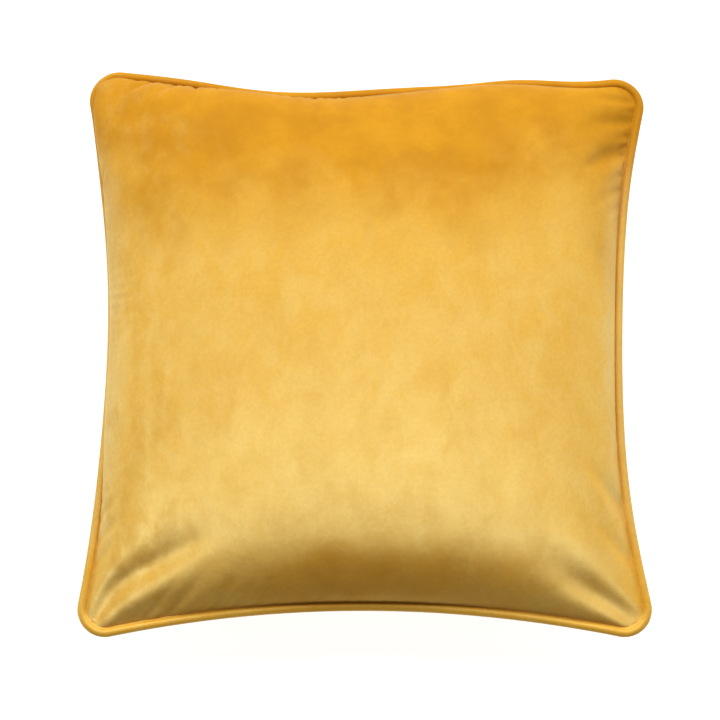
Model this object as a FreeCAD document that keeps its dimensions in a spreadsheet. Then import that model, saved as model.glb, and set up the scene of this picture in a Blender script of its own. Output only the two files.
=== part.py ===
import FreeCAD, Part
import math
import os
import re
import Sketcher

# A square scatter cushion lying on its back: a piped velvet cover with a concealed zip, and a
# fibre-filled pad inside it. The origin is under the middle of the cushion, on the surface it
# lies on. +Z goes up through the crown of the front panel, and the zipped edge faces -Y.
# Every sketch and placement is bound to the sheet "sizes", in millimetres and degrees.

SIZES = {
    # The seam line all round, which is the centre of the piping
    "seam_middle": 196.5,       # from the cushion's centre to the middle of a side
    "side_radius": 974.0,       # curve of a drawn-in side, whose centre is outside the cushion
    "corner_radius": 18.0,
    "seam_height": 60.0,
    "front_crown": 76.0,        # crown of the front panel above the seam line
    # Roundness of the two domes
    "front_power": 2.2,
    "back_power": 4.0,
    "corner_growth": 90.0,      # how much rounder the corners get towards the crown
    # Cover
    "velvet": 1.2,              # thickness of the velvet with its pile
    "panel_inset": 3.4,         # from the piping's centre to the face of a panel
    "allowance": 10.0,          # width of the seam allowances inside the cover
    "ply_gap": 0.1,
    # Piping
    "sleeve_radius": 3.2,
    "cord_radius": 2.2,
    "flange_half": 0.6,         # half of the two plies that the sleeve is sewn in by
    # Sewing thread
    "thread_radius": 0.2,
    "thread_lift": 0.25,        # height of a thread's centre over the cloth it lies on
    "stitch_inset": 9.5,        # from the piping's centre to the seam's threads
    # Inner pad
    "pad_inset": 16.0,          # from the piping's centre to the edge of the pad
    "pad_gap": 0.5,
    "casing": 0.6,
    "casing_gap": 0.3,
    # Zip: the chain's middle, and its parts measured from there
    "chain_height": 50.2,
    "chain_inset": 5.7,         # from the piping's centre to the middle of the coils
    "slot_half_length": 132.0,
    "slot_half_height": 4.7,
    "tape_angle": 16.0,
    "tape_thickness": 0.6,
    "tape_width": 12.0,
    "tape_upper_width": 7.6,
    "coil_angle": 15.0,
    "coil_thickness": 2.0,
    "coil_near": 0.6,           # from the chain's middle to the near side of each coil
    "coil_far": 2.2,
    "stop_angle": 0.13,
    "stop_gap_angle": 0.02,
    "stitch_offset": 6.2,       # from the chain's middle to the row of stitches
    # Zip slider and its pull
    "slider_rest_angle": 6.9,   # from the middle of the zip to the closed slider
    "slider_half_length": 8.5,
    "slider_front_half": 4.2,
    "slider_back_half": 3.3,
    "slider_shoulder": 6.4,     # from the slider's middle to where it narrows at the front
    "slider_waist": 0.8,
    "wing_thickness": 1.3,
    "wing_edge": 0.6,           # rounding of the outer wing's edge
    "slider_clearance": 0.3,
    "wedge_half": 0.3,
    "wedge_back": 4.2,          # the wedge runs from here to the next, from the slider's middle
    "wedge_front": 7.2,
    "bridge_radius": 0.7,
    "bridge_lift": 2.1,         # from the slider's face to the axis of its bridge
    "bridge_half": 3.4,
    "leg_length": 1.1,
    "eye_bore": 0.78,
    "eye_radius": 1.6,
    "eye_half": 1.9,
    "tab_length": 21.0,
    "tab_half_width": 2.4,
    "tab_thickness": 1.0,
    "tab_neck": 1.0,            # the tab widens from here to the next, below the eye
    "tab_shoulder": 3.0,
    "tab_chamfer": 2.0,
    "tab_hole": 1.1,
}

# A dome is lofted through outlines at evenly turned steps of its profile
DOME_STEPS = 7
CROWN_WIDTH = {"front_power": 0.16, "back_power": 0.45}   # width of the flat patch at the top
LARGEST_CORNER = 0.85       # corner radius of an outline as a share of its half width

QUARTER_TURN = 90
ORIGIN_POINT = (-1, 1)      # how a sketch names its origin
CENTRE = 3                  # how a sketch names an arc's centre
TOUCH = 0.01

doc = FreeCAD.newDocument("cushion")


def make_sheet():
    sheet = doc.addObject("Spreadsheet::Sheet", "sizes")
    for row, (name, value) in enumerate(SIZES.items(), start=1):
        sheet.set(f"A{row}", name)
        sheet.set(f"B{row}", str(value))
        sheet.setAlias(f"B{row}", name)
    doc.recompute()
    return sheet


sizes = make_sheet()


def value(expression):
    """The number that an expression over the sheet's names gives."""
    result = sizes.evalExpression(expression)
    return float(getattr(result, "Value", result))


def bound(expression):
    """The same expression, with the sheet named in front of each of its cells."""
    def named(word):
        return f"sizes.{word[0]}" if word[0] in SIZES else word[0]
    return re.sub(r"[a-z_]+", named, expression)


# ---------------------------------------------------------------- sketches

def new_body(name, x="0", y="0", z="0", turn=None):
    """A body with its place bound to the sheet; turn is an expression for its rotation."""
    body = doc.addObject("PartDesign::Body", name)
    body.Label = name
    place = f"vector({x}; {y}; {z})"
    rotation = turn or "rotation(vector(0; 0; 1); 0)"
    body.setExpression("Placement", bound(f"placement({place}; {rotation})"))
    return body


def new_sketch(body, name, role="XY_Plane", offset="0"):
    """A sketch on one of the body's own planes, moved along that plane's normal."""
    sketch = body.newObject("Sketcher::SketchObject", f"{body.Label}_{name}")
    plane = next(feature for feature in body.Origin.OriginFeatures if feature.Role == role)
    sketch.AttachmentSupport = [(plane, "")]
    sketch.MapMode = "FlatFace"
    sketch.setExpression("AttachmentOffset.Base.z", bound(offset))
    return sketch


def dimension(sketch, kind, *arguments, size):
    """A dimension of a sketch, bound to an expression over the sheet."""
    index = sketch.addConstraint(Sketcher.Constraint(kind, *arguments, value(size)))
    sketch.setExpression(f"Constraints[{index}]", bound(size))


def polygon(sketch, corners):
    """A closed outline of straight lines; each corner is an (x, y) pair of expressions."""
    points = [FreeCAD.Vector(value(x), value(y), 0) for x, y in corners]
    lines = []
    for start, end in zip(points, points[1:] + points[:1]):
        lines.append(sketch.addGeometry(Part.LineSegment(start, end)))
    for line, after in zip(lines, lines[1:] + lines[:1]):
        sketch.addConstraint(Sketcher.Constraint("Coincident", line, 2, after, 1))
    for line, (x, y) in zip(lines, corners):
        dimension(sketch, "DistanceX", *ORIGIN_POINT, line, 1, size=x)
        dimension(sketch, "DistanceY", *ORIGIN_POINT, line, 1, size=y)


def rectangle(sketch, left, right, low, high):
    polygon(sketch, [(left, low), (right, low), (right, high), (left, high)])


def circle(sketch, x, y, radius):
    middle = FreeCAD.Vector(value(x), value(y), 0)
    ring = sketch.addGeometry(Part.Circle(middle, FreeCAD.Vector(0, 0, 1), value(radius)))
    dimension(sketch, "Radius", ring, size=radius)
    dimension(sketch, "DistanceX", *ORIGIN_POINT, ring, CENTRE, size=x)
    dimension(sketch, "DistanceY", *ORIGIN_POINT, ring, CENTRE, size=y)


def cushion_outline(sketch, middle, inset, corner):
    """Four drawn-in sides and four round corners, each tangent to the next.

    middle is the distance from the centre to the middle of a side, and every side keeps the
    centre of curvature of the seam line, moved with the middle.
    """
    side_radius = value(f"side_radius + {inset}")
    side_distance = side_radius + value(middle)
    corner_radius = value(corner)
    touching = side_radius + corner_radius
    corner_place = (side_distance - math.sqrt(2 * touching ** 2 - side_distance ** 2)) / 2
    share = side_radius / touching
    sides = []
    corners = []
    for quarter in range(4):
        turn = FreeCAD.Rotation(FreeCAD.Vector(0, 0, 1), QUARTER_TURN * quarter)

        def turned(x, y):
            return turn.multVec(FreeCAD.Vector(x, y, 0))

        side_centre = FreeCAD.Vector(0, -side_distance, 0)
        corner_centre = FreeCAD.Vector(corner_place, -corner_place, 0)
        end = side_centre + (corner_centre - side_centre) * share
        tip = corner_centre + FreeCAD.Vector(1, -1, 0).normalize() * corner_radius
        sides.append(sketch.addGeometry(Part.Arc(
            turned(-end.x, end.y), turned(0, -value(middle)), turned(end.x, end.y))))
        corners.append(sketch.addGeometry(Part.Arc(
            turned(end.x, end.y), turned(tip.x, tip.y), turned(-end.y, -end.x))))
    # An arc's points 1 and 2 follow its own anticlockwise sense: a drawn-in side is run
    # against it, and a corner is run along it.
    for index in range(4):
        sketch.addConstraint(Sketcher.Constraint("Tangent", sides[index], 1, corners[index], 1))
        sketch.addConstraint(
            Sketcher.Constraint("Tangent", corners[index], 2, sides[(index + 1) % 4], 2))
    dimension(sketch, "Radius", sides[0], size=f"side_radius + {inset}")
    dimension(sketch, "Radius", corners[0], size=corner)
    for index in range(1, 4):
        sketch.addConstraint(Sketcher.Constraint("Equal", sides[0], sides[index]))
        sketch.addConstraint(Sketcher.Constraint("Equal", corners[0], corners[index]))
    reach = f"side_radius + {inset} + {middle}"
    for side, kind, sign in ((0, "DistanceY", "-"), (1, "DistanceX", ""),
                             (2, "DistanceY", ""), (3, "DistanceX", "-")):
        axis = -2 if kind == "DistanceY" else -1
        sketch.addConstraint(Sketcher.Constraint("PointOnObject", sides[side], CENTRE, axis))
        dimension(sketch, kind, *ORIGIN_POINT, sides[side], CENTRE, size=f"{sign}({reach})")


# ---------------------------------------------------------------- features

def pad(body, sketch, length):
    feature = body.newObject("PartDesign::Pad", f"{sketch.Name}_pad")
    feature.Profile = sketch
    feature.setExpression("Length", bound(length))
    sketch.Visibility = False
    return feature


def pocket(body, sketch, length, reverse=False):
    """A pocket into the solid; it is an error if it takes nothing away."""
    doc.recompute()
    before = body.Shape.Volume
    feature = body.newObject("PartDesign::Pocket", f"{sketch.Name}_pocket")
    feature.Profile = sketch
    feature.Reversed = reverse
    feature.setExpression("Length", bound(length))
    doc.recompute()
    if body.Shape.Volume > before - TOUCH:
        raise RuntimeError(f"{feature.Name} cuts nothing")
    return feature


def dome(body, name, cut, base, height, inset, power):
    """A loft from the seam line's outline to a small flat patch at the crown."""
    outlines = []
    for step in range(DOME_STEPS + 1):
        share = f"sin({QUARTER_TURN * step / DOME_STEPS:.2f})"
        width = CROWN_WIDTH[power] if step == DOME_STEPS else f"(1 - {share}^{power})^(1 / {power})"
        middle = f"(seam_middle - ({inset})) * {width}"
        corner = (f"min(corner_radius + corner_growth * sqrt({share}) - ({inset}); "
                  f"{LARGEST_CORNER} * {middle})")
        sketch = new_sketch(body, f"{name}_{step}", offset=f"{base} + ({height}) * {share}")
        cushion_outline(sketch, middle, f"({inset})", corner)
        outlines.append(sketch)
    kind = "PartDesign::SubtractiveLoft" if cut else "PartDesign::AdditiveLoft"
    loft = body.newObject(kind, f"{body.Label}_{name}")
    loft.Profile = outlines[0]
    loft.Sections = outlines[1:]
    loft.Ruled = True
    doc.recompute()


def flat_ring(body, name, base, thickness, outer_inset, inner_inset):
    """A flat strip of cloth all round, between two insets from the seam line."""
    sketch = new_sketch(body, name, offset=base)
    for inset in (outer_inset, inner_inset):
        cushion_outline(sketch, f"seam_middle - ({inset})", f"({inset})", f"corner_radius - ({inset})")
    pad(body, sketch, thickness)


def round_the_edge(body, name, height, inset, radius, cut=False):
    """A round cord, or the bore for one, swept all round at an inset from the seam line."""
    path = new_sketch(body, f"{name}_path", offset=height)
    cushion_outline(path, f"seam_middle - ({inset})", f"({inset})", f"corner_radius - ({inset})")
    section = new_sketch(body, f"{name}_section", role="XZ_Plane")
    circle(section, f"seam_middle - ({inset})", height, radius)
    doc.recompute()
    kind = "PartDesign::SubtractivePipe" if cut else "PartDesign::AdditivePipe"
    pipe = body.newObject(kind, f"{body.Label}_{name}")
    pipe.Profile = section
    pipe.Spine = path
    doc.recompute()


def along_zip(name, profiles, start, end):
    """A body swept along the zip, between two angles about the zipped side's centre.

    Each profile is (near, far, low, high): its insets from the seam line, and its heights
    from the chain's middle.
    """
    body = new_body(name, y=ZIP_AXIS, z="chain_height", turn=f"rotation(vector(0; 0; 1); {start})")
    body.AllowCompound = True
    for index, (near, far, low, high) in enumerate(profiles):
        section = new_sketch(body, f"section_{index}", role="YZ_Plane")
        rectangle(section, f"side_radius + {near}", f"side_radius + {far}", low, high)
        turning = body.newObject("PartDesign::Revolution", f"{name}_{index}")
        turning.Profile = section
        turning.ReferenceAxis = (section, ["V_Axis"])
        turning.setExpression("Angle", bound(f"{end} - ({start})"))
        doc.recompute()
    return body


def rounded(body, radius, chosen):
    """A fillet on the edges whose box passes a test."""
    doc.recompute()
    base = body.Tip
    names = [f"Edge{index}" for index, edge in enumerate(base.Shape.Edges, start=1)
             if chosen(edge.BoundBox)]
    feature = body.newObject("PartDesign::Fillet", f"{body.Label}_rounded")
    feature.Base = (base, names)
    feature.setExpression("Radius", bound(radius))
    doc.recompute()


# ---------------------------------------------------------------- cover

def make_front_panel():
    """The velvet front: a dome with its seam allowance turned in."""
    body = new_body("front_panel")
    base = "seam_height + flange_half + ply_gap"
    height = "front_crown - flange_half - ply_gap"
    dome(body, "outside", False, base, height, "panel_inset", "front_power")
    dome(body, "inside", True, base, f"{height} - velvet", "panel_inset + velvet", "front_power")
    flat_ring(body, "allowance", base, "velvet", "panel_inset + velvet / 2",
              "panel_inset + allowance")


def make_back_panel():
    """The velvet back, flat where it lies, with the slot for the zip in its -Y side."""
    body = new_body("back_panel")
    base = "seam_height - flange_half - ply_gap"
    dome(body, "outside", False, base, f"-({base})", "panel_inset", "back_power")
    dome(body, "inside", True, base, f"velvet - ({base})", "panel_inset + velvet", "back_power")
    flat_ring(body, "allowance", f"{base} - velvet", "velvet", "panel_inset + velvet / 2",
              "panel_inset + allowance")
    slot = new_sketch(body, "slot", role="XZ_Plane")
    rectangle(slot, "-slot_half_length", "slot_half_length", "chain_height - slot_half_height",
              "chain_height + slot_half_height")
    pocket(body, slot, "seam_middle + slot_half_length", reverse=True)


def make_piping():
    """The covered piping: a velvet sleeve with the two plies it is sewn in by, and its cord."""
    sleeve = new_body("piping_sleeve")
    round_the_edge(sleeve, "tube", "seam_height", "0", "sleeve_radius")
    flat_ring(sleeve, "flange", "seam_height - flange_half", "2 * flange_half",
              "cord_radius", "panel_inset + allowance")
    round_the_edge(sleeve, "bore", "seam_height", "0", "cord_radius + ply_gap", cut=True)
    cord = new_body("piping_cord")
    round_the_edge(cord, "cord", "seam_height", "0", "cord_radius")


def make_seam_thread():
    """The seam's two threads, one on each panel's allowance, inside the cover."""
    body = new_body("seam_thread")
    body.AllowCompound = True
    ply = "flange_half + ply_gap + velvet + thread_lift"
    round_the_edge(body, "front", f"seam_height + {ply}", "stitch_inset", "thread_radius")
    round_the_edge(body, "back", f"seam_height - ({ply})", "stitch_inset", "thread_radius")


# ---------------------------------------------------------------- zip

# The zipped side's centre of curvature, which the slider's track turns about
ZIP_AXIS = "-(side_radius + seam_middle)"
TAPE_FACE = "chain_inset + coil_thickness / 2"


def make_tapes():
    back = f"{TAPE_FACE} + tape_thickness"
    half = "tape_angle / 2"
    along_zip("zip_tape_upper", [(TAPE_FACE, back, "coil_near", "tape_upper_width")],
              f"-{half}", half)
    along_zip("zip_tape_lower", [(TAPE_FACE, back, "-tape_width", "-coil_near")], f"-{half}", half)


def make_coils():
    """The two rows of nylon teeth, as plain beads on the outer face of the tapes."""
    face = "chain_inset - coil_thickness / 2"
    half = "coil_angle / 2"
    along_zip("zip_coil_upper", [(face, TAPE_FACE, "coil_near", "coil_far")], f"-{half}", half)
    along_zip("zip_coil_lower", [(face, TAPE_FACE, "-coil_far", "-coil_near")], f"-{half}", half)


def make_stops():
    """Two stops past the closed end of the coils, and one across both at the open end."""
    face = "chain_inset - coil_thickness / 2"
    near_end = "coil_angle / 2 + stop_gap_angle"
    far_end = f"{near_end} + stop_angle"
    along_zip("zip_top_stops", [(face, TAPE_FACE, "coil_near", "coil_far"),
                                (face, TAPE_FACE, "-coil_far", "-coil_near")],
              f"-({far_end})", f"-({near_end})")
    along_zip("zip_bottom_stop", [(face, TAPE_FACE, "-coil_far", "coil_far")], near_end, far_end)


def make_zip_thread():
    """The two rows of stitches that hold the tapes, on the outside of the back panel."""
    face = "panel_inset - 2 * thread_lift"
    rows = [(f"{face} - thread_radius", f"{face} + thread_radius",
             f"{sign}stitch_offset - thread_radius", f"{sign}stitch_offset + thread_radius")
            for sign in ("", "-")]
    along_zip("zip_thread", rows, "-tape_angle / 2", "tape_angle / 2")


def on_slider(name, lift):
    """A body at the closed slider: X along the zip, Y up, Z out of the cover."""
    reach = f"(side_radius + chain_inset - ({lift}))"
    return new_body(name, x=f"{reach} * sin(slider_rest_angle)",
                    y=f"{ZIP_AXIS} + {reach} * cos(slider_rest_angle)", z="chain_height",
                    turn="rotation(vector(0; 0; 1); -slider_rest_angle) * rotation(vector(1; 0; 0); 90)")


def slider_outline(sketch):
    """A shield, wide at the front where the two tapes part, and narrow behind."""
    upper = [("-slider_half_length", "slider_back_half"), ("-slider_waist", "slider_back_half"),
             ("slider_waist", "slider_front_half"), ("slider_shoulder", "slider_front_half"),
             ("slider_half_length", "slider_back_half")]
    lower = [(x, f"-{y}") for x, y in reversed(upper)]
    polygon(sketch, lower + upper)


COIL_TOP = "coil_thickness / 2 + slider_clearance"
SLIDER_FACE = f"{COIL_TOP} + wing_thickness"


def make_slider():
    """Two wings joined by a wedge, side walls round the coils, and a bridge for the pull."""
    body = on_slider("zip_slider", "0")
    below_tape = "-(coil_thickness / 2 + tape_thickness + slider_clearance)"
    wall_foot = "slider_clearance - coil_thickness / 2"
    block = new_sketch(body, "outer_wing", offset=wall_foot)
    slider_outline(block)
    pad(body, block, f"{SLIDER_FACE} - ({wall_foot})")
    rounded(body, "wing_edge", lambda box: box.ZMin > value(SLIDER_FACE) - TOUCH)
    channel = new_sketch(body, "channel", offset=COIL_TOP)
    rectangle(channel, "-2 * slider_half_length", "2 * slider_half_length",
              "-(coil_far + slider_clearance)", "coil_far + slider_clearance")
    pocket(body, channel, f"{COIL_TOP} - ({wall_foot})")
    wedge = new_sketch(body, "wedge", offset=f"{below_tape} - wing_thickness / 2")
    rectangle(wedge, "wedge_back", "wedge_front", "-wedge_half", "wedge_half")
    pad(body, wedge, f"{COIL_TOP} - ({below_tape}) + wing_thickness")
    inner = new_sketch(body, "inner_wing", offset=f"{below_tape} - wing_thickness")
    slider_outline(inner)
    pad(body, inner, "wing_thickness")
    legs = new_sketch(body, "legs", offset=f"{SLIDER_FACE} - wing_thickness / 2")
    rectangle(legs, "-bridge_half", "leg_length - bridge_half", "-bridge_radius", "bridge_radius")
    rectangle(legs, "bridge_half - leg_length", "bridge_half", "-bridge_radius", "bridge_radius")
    pad(body, legs, "wing_thickness / 2 + bridge_lift + bridge_radius")
    bar = new_sketch(body, "bridge", role="YZ_Plane", offset="-bridge_half")
    circle(bar, "0", f"{SLIDER_FACE} + bridge_lift", "bridge_radius")
    pad(body, bar, "2 * bridge_half")


def make_pull():
    """A rolled eye on the slider's bridge, and a flat tab that hangs from it."""
    body = on_slider("zip_pull", f"{SLIDER_FACE} + bridge_lift")
    eye = new_sketch(body, "eye", role="YZ_Plane", offset="-eye_half")
    circle(eye, "0", "0", "eye_radius")
    circle(eye, "0", "0", "eye_bore")
    pad(body, eye, "2 * eye_half")
    tab = new_sketch(body, "tab", offset="-tab_thickness / 2")
    top = "-(eye_bore + eye_radius) / 2"
    neck = "-eye_radius - tab_neck"
    shoulder = "-eye_radius - tab_shoulder"
    left = [("-eye_half", top), ("-eye_half", neck), ("-tab_half_width", shoulder),
            ("-tab_half_width", "tab_chamfer - tab_length"),
            ("tab_chamfer - tab_half_width", "-tab_length")]
    right = [(f"-({x})", y) for x, y in reversed(left)]
    polygon(tab, left + right)
    circle(tab, "0", "tab_half_width - tab_length", "tab_hole")
    pad(body, tab, "tab_thickness")


# ---------------------------------------------------------------- inner pad

PAD_FRONT = "front_crown - velvet - pad_gap"
PAD_BACK = "seam_height - velvet - pad_gap"


def make_casings():
    """The pad's two cloth halves, which meet along the seam line's level."""
    front = new_body("pad_casing_front")
    dome(front, "outside", False, "seam_height", PAD_FRONT, "pad_inset", "front_power")
    dome(front, "inside", True, "seam_height", f"{PAD_FRONT} - casing", "pad_inset + casing",
         "front_power")
    back = new_body("pad_casing_back")
    dome(back, "outside", False, "seam_height", f"-({PAD_BACK})", "pad_inset", "back_power")
    dome(back, "inside", True, "seam_height", f"-({PAD_BACK} - casing)", "pad_inset + casing",
         "back_power")


def make_filling():
    """The fibre filling, one soft solid inside the casing."""
    body = new_body("pad_filling")
    inset = "pad_inset + casing + casing_gap"
    less = "casing - casing_gap"
    dome(body, "front", False, "seam_height", f"{PAD_FRONT} - {less}", inset, "front_power")
    dome(body, "back", False, "seam_height", f"-({PAD_BACK} - {less})", inset, "back_power")


def make_pad_thread():
    """The overlock thread round the pad's edge, which joins its two cloth halves."""
    body = new_body("pad_thread")
    round_the_edge(body, "overlock", "seam_height", "pad_inset - thread_radius - thread_lift",
                   "thread_radius")


def check_and_write():
    """Refuses a failed feature or a bad solid, and writes each body to parts/."""
    doc.recompute()
    for thing in doc.Objects:
        if "Invalid" in thing.State or "Error" in thing.State:
            raise RuntimeError(f"{thing.Name} failed: {thing.State}")
    bodies = [thing for thing in doc.Objects if thing.TypeId == "PartDesign::Body"]
    for body in bodies:
        if body.Shape.isNull() or not body.Shape.isValid():
            raise RuntimeError(f"{body.Label} has no valid shape")
    os.makedirs("parts", exist_ok=True)
    for body in bodies:
        body.Shape.exportStep(f"parts/{body.Label}.step")
        box = body.Shape.BoundBox
        print(f"{body.Label:18} {len(body.Shape.Solids)} solids {body.Shape.Volume:11.1f} mm3  "
              f"z {box.ZMin:.2f} to {box.ZMax:.2f}  x {box.XMin:.2f} to {box.XMax:.2f}  "
              f"y {box.YMin:.2f} to {box.YMax:.2f}")


make_front_panel()
make_back_panel()
make_piping()
make_seam_thread()
make_tapes()
make_coils()
make_stops()
make_zip_thread()
make_slider()
make_pull()
make_casings()
make_filling()
make_pad_thread()
check_and_write()
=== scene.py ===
import math

import bmesh
import bpy
import numpy as np
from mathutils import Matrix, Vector


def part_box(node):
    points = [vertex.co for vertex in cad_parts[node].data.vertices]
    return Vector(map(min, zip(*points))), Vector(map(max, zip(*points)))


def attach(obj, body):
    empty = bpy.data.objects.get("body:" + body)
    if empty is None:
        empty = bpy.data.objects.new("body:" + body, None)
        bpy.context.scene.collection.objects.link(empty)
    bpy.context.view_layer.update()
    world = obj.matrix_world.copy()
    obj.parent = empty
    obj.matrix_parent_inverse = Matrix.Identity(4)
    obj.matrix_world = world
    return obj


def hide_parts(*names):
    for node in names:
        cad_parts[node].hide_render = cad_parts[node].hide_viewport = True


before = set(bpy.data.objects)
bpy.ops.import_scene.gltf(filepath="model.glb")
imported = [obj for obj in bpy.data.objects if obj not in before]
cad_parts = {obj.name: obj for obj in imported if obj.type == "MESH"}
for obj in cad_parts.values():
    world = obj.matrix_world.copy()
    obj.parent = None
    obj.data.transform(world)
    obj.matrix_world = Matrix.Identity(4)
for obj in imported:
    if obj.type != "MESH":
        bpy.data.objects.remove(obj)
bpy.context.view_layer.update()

# A piped velvet scatter cushion lying on its back. Everything is in metres, in the frame of the
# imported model: +Z up through the front panel's crown, and the zipped edge facing -Y.

# Seam line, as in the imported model: drawn-in sides with their centres outside the cushion
SIDE_RADIUS = 0.974
SEAM_MIDDLE = 0.1965        # from the cushion's centre to the middle of a side
CORNER_RADIUS = 0.018
SEAM_HEIGHT = sum(corner.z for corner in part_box("piping_cord")) / 2
SIDE_POINTS = 400           # points of the seam line on half a side
CORNER_POINTS = 120

# The seam in section, across it
PANEL_INSET = 0.0034        # from the piping's centre to the edge of a panel
PLY = 0.0007                # from the seam's level to the edge of a panel
VELVET = 0.0011             # thickness of the panels' velvet
ALLOWANCE = 0.010           # cloth turned in past the seam
INNER_EDGE = PANEL_INSET + ALLOWANCE
STITCH_INSET = 0.0095

# The flat cut of a panel from seam to seam
CUT_SIDE = 0.437
CUT_CORNER = 0.022


# ---- the seam line

def arc(centre, radius, start, end, count):
    """Points along an arc, without its last one."""
    angles = np.linspace(start, end, count, endpoint=False)
    return np.stack([centre[0] + radius * np.cos(angles), centre[1] + radius * np.sin(angles)], axis=1)


def seam_line(inset):
    """The closed seam line moved inwards, anticlockwise from the middle of the -Y side."""
    side_radius = SIDE_RADIUS + inset
    corner_radius = CORNER_RADIUS - inset
    side_distance = side_radius + SEAM_MIDDLE - inset
    touching = side_radius + corner_radius
    place = (side_distance - math.sqrt(2 * touching ** 2 - side_distance ** 2)) / 2
    lean = math.atan2(place, side_distance - place)
    up = math.pi / 2
    quarter = np.concatenate([
        arc((0, -side_distance), side_radius, up, up - lean, SIDE_POINTS),
        arc((place, -place), corner_radius, -up - lean, lean, CORNER_POINTS),
        arc((side_distance, 0), side_radius, math.pi + lean, math.pi, SIDE_POINTS),
    ])
    sides = []
    for turn in range(4):
        cos, sin = round(math.cos(turn * up)), round(math.sin(turn * up))
        sides.append(quarter @ np.array([[cos, sin], [-sin, cos]]))
    return np.concatenate(sides)


def lengths_along(points):
    """How far along a closed line each point is, and last the whole length."""
    closed = np.vstack([points, points[:1]])
    steps = np.linalg.norm(np.diff(closed, axis=0), axis=1)
    return np.concatenate([[0], np.cumsum(steps)])


def at_shares(points, shares):
    """Points of a closed line at shares of its whole length."""
    along = lengths_along(points)
    closed = np.vstack([points, points[:1]])
    wanted = (np.asarray(shares) % 1) * along[-1]
    axes = range(closed.shape[1])
    return np.stack([np.interp(wanted, along, closed[:, axis]) for axis in axes], axis=1)


# How the sewn cushion strays from the even shape: (x, y), reach, and the move (x, y, z)
STRAYS = (
    ((-0.208, 0.208), 0.045, (0.0015, 0.0025, -0.005)),     # the corner at -X +Y
    ((0.208, 0.205), 0.060, (0.0027, -0.0022, 0.000)),      # the corner at +X +Y
    ((0.208, -0.205), 0.070, (0.0028, 0.000, 0.000)),       # the corner at +X -Y
    ((-0.150, 0.198), 0.070, (0.000, 0.0110, -0.007)),      # the +Y side is less drawn in than
    ((0.042, 0.198), 0.120, (0.000, 0.0160, -0.011)),       # the others, and rolled under
    ((0.125, 0.198), 0.040, (0.000, 0.0045, 0.000)),
    ((-0.198, 0.075), 0.090, (-0.0008, 0.000, -0.015)),     # the -X side is rolled under too
    ((-0.200, -0.080), 0.110, (-0.0028, 0.000, -0.004)),
    ((0.200, 0.035), 0.130, (0.0036, 0.000, -0.001)),       # the +X side
)

# Where the seam is rolled under, the front's cloth reaches further round and the back's less, and
# the front bulges out over the piping. The +X and -Y sides have only a little of that. Each row is
# the middle of a stretch of the flat cut's edge, its reach, and how much more cloth the front has
ROLLED = (
    ((-0.2185, 0.090), 0.080, 0.0145),
    ((-0.2185, -0.045), 0.095, 0.0100),
    ((-0.120, 0.2185), 0.080, 0.0140),
    ((0.010, 0.2185), 0.060, 0.0060),
    ((0.095, 0.2185), 0.080, 0.0170),
    ((-0.2185, 0.185), 0.045, 0.0120),
    ((-0.195, 0.2185), 0.040, 0.0110),
    ((0.2185, 0.010), 0.110, 0.0040),
    ((0.010, -0.2185), 0.090, 0.0012),
)
ROLLED_WIDTH = 0.110        # how far in from the edge the cloth takes it up
BACK_SHARE = 0.4            # how much less cloth the back has, as a share of the front's more
BULGE_WIDTH = 0.030         # how far in from the edge the front bulges
BULGE = 900.0               # how much harder the pad presses there, for each metre more of cloth


def strayed(points):
    """Points of the seam with the strays added."""
    moved = points.copy()
    for (x, y), reach, move in STRAYS:
        near = np.exp(-((points[..., 0] - x) ** 2 + (points[..., 1] - y) ** 2) / reach ** 2)
        moved += near[..., None] * np.array(move)
    return moved


def seam_points(inset, shares, lift=0.0):
    """Points of the sewn seam, strays and all, at shares of its length."""
    flat = at_shares(seam_line(inset), shares)
    level = np.full((len(flat), 1), SEAM_HEIGHT + lift)
    return strayed(np.hstack([flat, level]))


# ---- cloth

COARSE = 54                 # cells across the coarse cloth; each finer cloth has twice as many
STEPS = (350, 160, 60)      # steps that each cloth is relaxed for
SLACK = (0.6, 0.6, 0.5)     # how much of a squeezed tie's push back is felt
SWELL = 1.2e-5              # how far the pad pushes the coarse cloth in a step
FIRST_CROWN = 0.065         # height of the dome that the cloth starts from, over its seam
CORNER_REACH = 0.045        # how far from a corner the pad doesn't fill the cover, and how much
CORNER_EASE = 0.85          # less it presses there
FOLD_STRENGTH = 6.0         # how hard a fold of depth 1 draws the cloth in, against the pad's press

# The zip's slot in the back panel, whose cloth its tape holds upright like a wall
ZIP_AXIS_Y = -(SIDE_RADIUS + SEAM_MIDDLE)
WALL_RADIUS = SIDE_RADIUS + PANEL_INSET
WALL_FOOT = 0.038           # height down to which the cloth is upright
WALL_STEP = 0.0010          # how far in its foot stands
EDGE_HEIGHT = SEAM_HEIGHT - PLY
SLOT_LOW, SLOT_HIGH = 0.0455, 0.0549
SLOT_HALF = 0.132           # half the slot's length, along the seam
HELD_PAST_SLOT = 0.004
CUT_SLOT_HALF = 0.1339      # half the slot's length in the flat cut
SLOT_CELLS_X = (11, 32, 11)     # coarse cells before, along and past the slot
SLOT_CELLS_Y = (1, 2, 1, 50)    # coarse cells above, across and below the slot, and in the rest


def spread_lines(stops, cells):
    """Thread places that fall on each stop, with a number of even cells between stops."""
    parts = [np.linspace(low, high, count, endpoint=False)
             for low, high, count in zip(stops, stops[1:], cells)]
    return np.concatenate(parts + [[stops[-1]]])


def halved(points, axis=0):
    """The same lines or cloth with every cell split in two along one axis."""
    points = np.moveaxis(points, axis, 0)
    finer = np.empty((2 * len(points) - 1, *points.shape[1:]))
    finer[::2] = points
    finer[1::2] = (points[1:] + points[:-1]) / 2
    return np.moveaxis(finer, 0, axis)


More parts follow.
